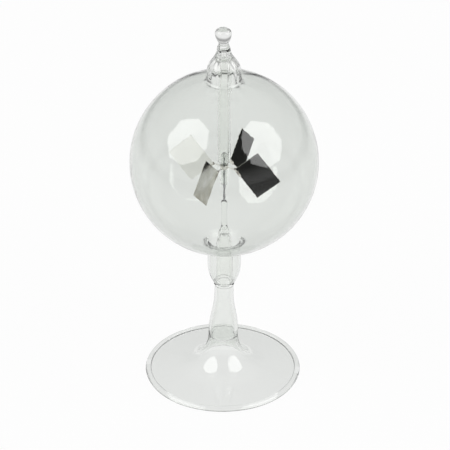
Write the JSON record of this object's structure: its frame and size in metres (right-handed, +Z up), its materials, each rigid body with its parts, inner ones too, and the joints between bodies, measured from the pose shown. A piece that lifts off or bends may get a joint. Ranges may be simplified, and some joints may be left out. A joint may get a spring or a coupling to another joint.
{
  "type": "crookes radiometer",
  "caption": "Crookes radiometer: a sealed glass bulb on a blown glass stem and round foot, with a free-turning rotor of silver and black vanes on a needle",
  "frame": {"origin": "middle of the foot's underside, on the surface that the foot stands on", "axes": "+Z up along the common axis of the bulb, the needle and the rotor; the picture looks along +Y from above, with +X to the right"},
  "size_m": [0.0948, 0.0948, 0.1999],
  "materials": {
    "clear_glass": "gloss",
    "needle_steel": "polished",
    "arm_metal": "gloss",
    "vane_silver": "polished",
    "lampblack": "matte"
  },
  "bodies": {
    "stand": {"stand_foot": "clear_glass", "stand_stem": "clear_glass", "seal_ring": "clear_glass", "bulb_neck": "clear_glass", "glass_bulb": "clear_glass", "drawn_tip": "clear_glass", "tip_ball": "clear_glass", "guide_tube": "clear_glass", "rod_flare": "clear_glass", "support_rod": "clear_glass", "needle": "needle_steel"},
    "rotor": {"bearing_cup": "clear_glass", "spring_band": "arm_metal", "arm_wire_1": "arm_metal", "arm_wire_2": "arm_metal", "arm_wire_3": "arm_metal", "arm_wire_4": "arm_metal", "vane_clip_1": "arm_metal", "vane_clip_2": "arm_metal", "vane_clip_3": "arm_metal", "vane_clip_4": "arm_metal", "vane_plate_1": "vane_silver", "vane_plate_2": "vane_silver", "vane_plate_3": "vane_silver", "vane_plate_4": "vane_silver", "black_coat_1": "lampblack", "black_coat_2": "lampblack", "black_coat_3": "lampblack", "black_coat_4": "lampblack"}
  },
  "joints": [
    {"name": "rotor_spin", "type": "hinge", "parent": "stand", "child": "rotor", "pos_m": [0, 0, 0.1293], "axis": [0, 0, 1], "continuous": true}
  ]
}
